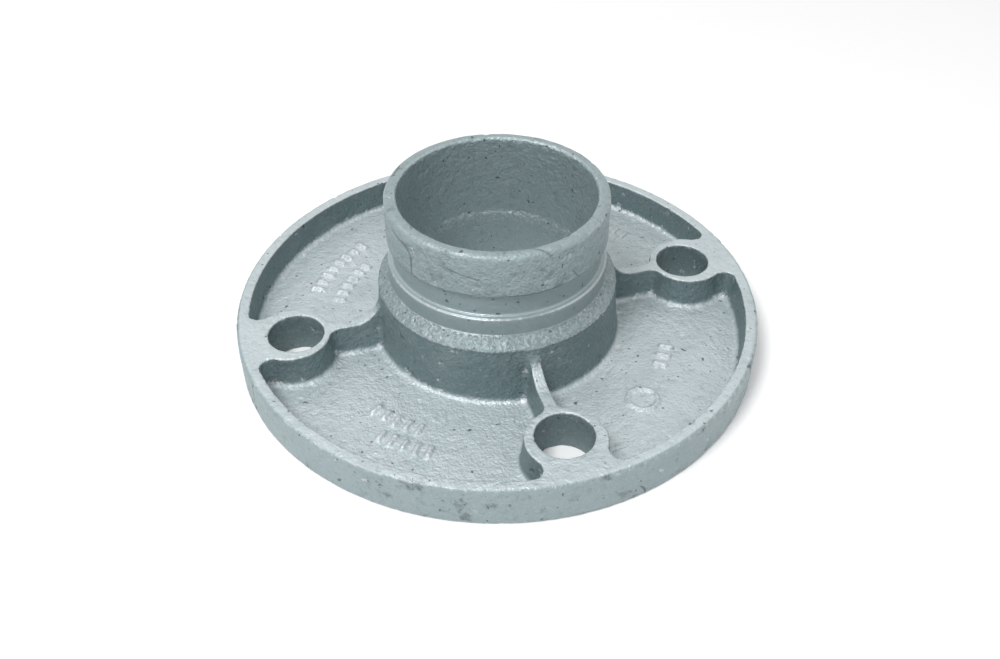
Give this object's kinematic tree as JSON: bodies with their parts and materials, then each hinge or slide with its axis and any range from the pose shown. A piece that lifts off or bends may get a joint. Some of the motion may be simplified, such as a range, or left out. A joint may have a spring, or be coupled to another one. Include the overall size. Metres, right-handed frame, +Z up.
{
  "type": "grooved pipe flange adaptor",
  "caption": "Round ribbed iron flange with a hub and a grooved spigot that joins a bolted flange to a grooved pipe coupling.",
  "frame": {"origin": "centre of the flat sealing face, on the bore's axis", "axes": "+Z up the bore from the sealing face to the spigot's mouth; two bolt holes lie on X and two on Y"},
  "size_m": [0.185, 0.185, 0.06],
  "materials": {
    "galvanised_iron": "hot-dip galvanised, matt, rough as cast"
  },
  "bodies": {
    "root": {"flange_casting": "galvanised_iron"}
  },
  "joints": []
}
